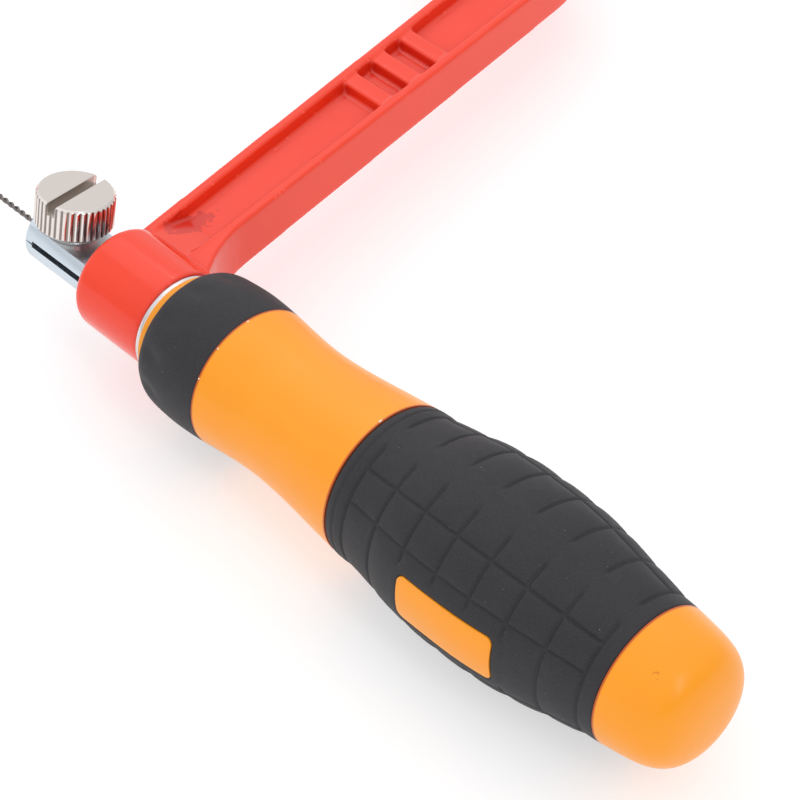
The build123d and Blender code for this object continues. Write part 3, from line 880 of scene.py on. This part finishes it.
def make_flash():
    """All the flakes as one piece."""
    pale = Finish("moulding_flash", Roughness=0.4, IOR=1.48)
    pale.colour(pale.blend(pale.noise(0.2 * MM), (0.95, 0.72, 0.55), (1.0, 0.88, 0.78)))
    points, faces = [], []
    for station, degrees, length in FLAKES:
        turn, x = math.radians(degrees), NOSE_X + station * MM
        step_back = BEHIND_COLLAR if station < WAIST_FRONT else 0
        radius = skin_radius(nodes["handle_core"], x + step_back)
        first = len(points)
        for i in range(FLAKE_RINGS):
            tilt = math.pi * (i + 0.5) / FLAKE_RINGS
            for j in range(FLAKE_SIDES):
                spin = 2 * math.pi * j / FLAKE_SIDES
                along = FLAKE_WIDTH / 2 * math.sin(tilt) * math.cos(spin)
                sideways = length * MM / 2 * math.cos(tilt)
                rise = FLAKE_HEIGHT / 2 * math.sin(tilt) * math.sin(spin)
                points.append(around(x + along, turn + sideways / radius, radius + rise))
        faces += ring_faces(FLAKE_RINGS, FLAKE_SIDES, first)
        faces += end_caps(first, len(points), FLAKE_SIDES)
    return add_piece("moulding_flash", points, faces, pale.material, "handle")


flash = make_flash()
print(flash.name, len(FLAKES), "flakes")

# %% [markdown]
# ## The thumbscrews
# Each thumbscrew is turned from bar: a flat head with straight flutes round it, chamfered top and
# bottom, and a screwdriver slot sawn across. The flutes are a wave on the radius, and the chamfer is
# the smaller of that wave and a cone, which scallops its edge as a lathe tool does. The slot is cut
# with a Boolean, and the shank has a real helical thread.

# %% Thumbscrew sizes
HEAD_CHAMFER = 0.52 * MM
FLUTES = 40
POINTS_PER_FLUTE = 8
DRIVER_SLOT_WIDTH, DRIVER_SLOT_DEPTH = 1.9 * MM, 2.0 * MM
DRIVER_SLOT_BEVEL = 0.12 * MM
REAR_SLOT_TURN, FRONT_SLOT_TURN = math.radians(-78), math.radians(78)   # where each slot points
THREAD_RADIUS, THREAD_PITCH, THREAD_DEPTH = 2.5 * MM, 0.8 * MM, 0.36 * MM
SHANK_TIP = 0.52 * MM           # from the wire's line
TIP_SHARE, TOP_SHARE = 0.5, 0.5     # each flat end's last row, as a share of the radius there
ROWS_PER_PITCH = 8
FLUTE_SHARPNESS = 0.8           # under 1 makes the valleys wide and the ridges narrow
CREASE = math.radians(24)       # sharper edges than this aren't shaded smooth


# %% Thumbscrew builder
def head_rows():
    """Each row of the head: its height from the wire's line, and the radius that the chamfer leaves."""
    fall = np.linspace(1, 0, 5) * HEAD_CHAMFER
    low = [(HEAD_START + HEAD_CHAMFER - f, HEAD_RADIUS - f) for f in fall]
    high = [(HEAD_START + HEAD_HEIGHT - HEAD_CHAMFER + f, HEAD_RADIUS - f) for f in fall[::-1]]
    return low + high


def screw_points():
    """Rows of points round the screw's own axis, from its tip to the top of its head."""
    count = FLUTES * POINTS_PER_FLUTE
    turns = np.linspace(0, 2 * math.pi, count, endpoint=False)
    rows = [(SHANK_TIP, np.full(count, TIP_SHARE * THREAD_RADIUS))]
    for height in np.arange(SHANK_TIP + 0.05 * MM, HEAD_START, THREAD_PITCH / ROWS_PER_PITCH):
        phase = (height / THREAD_PITCH - turns / (2 * math.pi)) % 1
        tip = min(1.0, (height - SHANK_TIP) / THREAD_PITCH)
        rows.append((height, THREAD_RADIUS - THREAD_DEPTH * (1 - tip * (1 - np.abs(2 * phase - 1)))))
    wave = HEAD_RADIUS - FLUTE_DEPTH * (0.5 - 0.5 * np.cos(FLUTES * turns)) ** FLUTE_SHARPNESS
    rows.append((HEAD_START, np.full(count, THREAD_RADIUS)))
    rows += [(height, np.minimum(wave, limit)) for height, limit in head_rows()]
    rows.append((HEAD_START + HEAD_HEIGHT, np.full(count, TOP_SHARE * HEAD_RADIUS)))
    points = []
    for height, radii in rows:
        points += [(r * math.cos(t), r * math.sin(t), height) for r, t in zip(radii, turns)]
    return points, len(rows), count


def cut_driver_slot(screw, turn):
    """Saws the slot across the head, with its edges just broken, and applies the cut."""
    top = HEAD_START + HEAD_HEIGHT
    half, bevel = DRIVER_SLOT_WIDTH / 2, DRIVER_SLOT_BEVEL
    above = 4 * bevel           # the cutter flares at 45 degrees from under the top to above it
    section = [
        (-half, top - DRIVER_SLOT_DEPTH),
        (half, top - DRIVER_SLOT_DEPTH),
        (half, top - bevel),
        (half + bevel + above, top + above),
        (-half - bevel - above, top + above),
        (-half, top - bevel),
    ]
    reach = 1.5 * HEAD_RADIUS
    corners = []
    for along in (-reach, reach):
        for across, height in section:
            x = along * math.cos(turn) - across * math.sin(turn)
            y = along * math.sin(turn) + across * math.cos(turn)
            corners.append((x, y, height))
    n = len(section)
    faces = [tuple(range(n))[::-1], tuple(range(n, 2 * n))]
    faces += [(i, (i + 1) % n, n + (i + 1) % n, n + i) for i in range(n)]
    cutter_mesh = bpy.data.meshes.new("driver_slot")
    cutter_mesh.from_pydata(corners, [], faces)
    cutter = bpy.data.objects.new("driver_slot", cutter_mesh)
    bpy.context.scene.collection.objects.link(cutter)
    cut = screw.modifiers.new("slot", "BOOLEAN")
    cut.operation = "DIFFERENCE"
    cut.solver = "EXACT"
    cut.object = cutter
    bpy.context.view_layer.update()
    done = bpy.data.meshes.new_from_object(screw.evaluated_get(bpy.context.evaluated_depsgraph_get()))
    screw.modifiers.clear()
    bpy.data.objects.remove(cutter)
    screw.data = done


def make_thumbscrew(name, joint_name, node_name, body, slot_turn):
    """A whole thumbscrew, set on its joint's axis. Its own Z is the screw's axis."""
    points, rows, count = screw_points()
    faces = ring_faces(rows, count) + end_caps(0, len(points), count)
    mesh = bpy.data.meshes.new(name)
    mesh.from_pydata(points, [], faces)
    mesh.materials.append(nickel_steel)
    screw = bpy.data.objects.new(name, mesh)
    bpy.context.scene.collection.objects.link(screw)
    cut_driver_slot(screw, slot_turn)
    screw.location = joints[joint_name]["pos_m"]
    screw.rotation_euler = Vector((0, 0, 1)).rotation_difference(SCREW_AXIS).to_euler()
    shade_by_angle(screw.data, CREASE)
    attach(screw, body)
    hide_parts(node_name)
    return screw


def shade_by_angle(mesh, limit):
    """Smooth shading, with every edge sharper than the limit kept sharp."""
    work = bmesh.new()
    work.from_mesh(mesh)
    for edge in work.edges:
        edge.smooth = len(edge.link_faces) == 2 and edge.calc_face_angle() < limit
    for face in work.faces:
        face.smooth = True
    work.to_mesh(mesh)
    work.free()


rear_screw = make_thumbscrew(
    "rear_fluted_screw", "rear_screw_turn", "rear_thumbscrew", "rear_screw", REAR_SLOT_TURN
)
front_screw = make_thumbscrew(
    "front_fluted_screw", "front_screw_turn", "front_thumbscrew", "front_screw", FRONT_SLOT_TURN
)
for screw in (rear_screw, front_screw):
    print(screw.name, len(screw.data.polygons), "faces")

# %% [markdown]
# ## The twisted wire
# The blade is two hard steel strands twisted together, and the twist is what cuts. Each strand is a
# round tube that follows a helix just its own radius off the wire's line, so the two all but touch.

# %% Twisted wire
WIRE_LAY = 3.1 * MM             # one full turn of the strands
STEPS_PER_TURN = 22
STRAND_SIDES = 9
STRAND_SHARE = 0.98             # keeps the strands just inside the CAD wire


def make_wire():
    """Two strands on opposite sides of the wire's line."""
    low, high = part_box("saw_wire")
    centre_y, centre_z = (low.y + high.y) / 2, (low.z + high.z) / 2
    strand = (high.z - low.z) / 4
    steps = int((high.x - low.x) / WIRE_LAY * STEPS_PER_TURN)
    climb = WIRE_LAY / (2 * math.pi)
    points, faces = [], []
    for start in (0, math.pi):
        first = len(points)
        for i in range(steps + 1):
            x = low.x + (high.x - low.x) * i / steps
            turn = start + (x - low.x) / climb
            out = Vector((0, math.cos(turn), math.sin(turn)))
            heading = Vector((climb, -strand * math.sin(turn), strand * math.cos(turn))).normalized()
            across = heading.cross(out)
            centre = Vector((x, centre_y, centre_z)) + strand * out
            for side in range(STRAND_SIDES):
                a = 2 * math.pi * side / STRAND_SIDES
                point = centre + STRAND_SHARE * strand * (math.cos(a) * out + math.sin(a) * across)
                point.x = min(max(point.x, low.x), high.x)
                points.append(point)
        faces += ring_faces(steps + 1, STRAND_SIDES, first)
        faces += end_caps(first, len(points), STRAND_SIDES)
    return add_piece("twisted_wire", points, faces, wire_steel, "frame", "saw_wire")


twisted_wire = make_wire()
print(twisted_wire.name, len(twisted_wire.data.polygons), "faces")

# %% [markdown]
# ## The floor
# The saw lies on its side on a plain pale floor, touching it with the belly of the grip. It is a lit
# table, as product pictures use: a little light comes up through it, and that thins the shadows. The
# floor is much larger than the saw, so that its edge never shows.

# %% Floor
FLOOR_SIZE = 6.0
FLOOR_GLOW = 0.54
FLOOR_MOTTLE = 0.4              # metres between its faint lighter and darker places


def make_floor():
    """One large square at the height that the saw lies on."""
    half = FLOOR_SIZE / 2
    corners = [(-half, -half, 0), (half, -half, 0), (half, half, 0), (-half, half, 0)]
    mesh = bpy.data.meshes.new("floor")
    mesh.from_pydata(corners, [], [(0, 1, 2, 3)])
    pale = Finish("pale_floor", Roughness=0.7, Emission_Color=(1, 1, 1, 1), Emission_Strength=FLOOR_GLOW)
    pale.colour(pale.blend(pale.noise(FLOOR_MOTTLE), (0.49, 0.49, 0.49), (0.51, 0.51, 0.51)))
    mesh.materials.append(pale.material)
    floor = bpy.data.objects.new("floor", mesh)
    bpy.context.scene.collection.objects.link(floor)
    return floor


floor = make_floor()
print("floor is", FLOOR_SIZE, "m wide")

# %% [markdown]
# The looks never change the saw's size. The CAD model's box is printed at the end.

# %% Print the CAD box and finish
print("CAD box", cad_box)
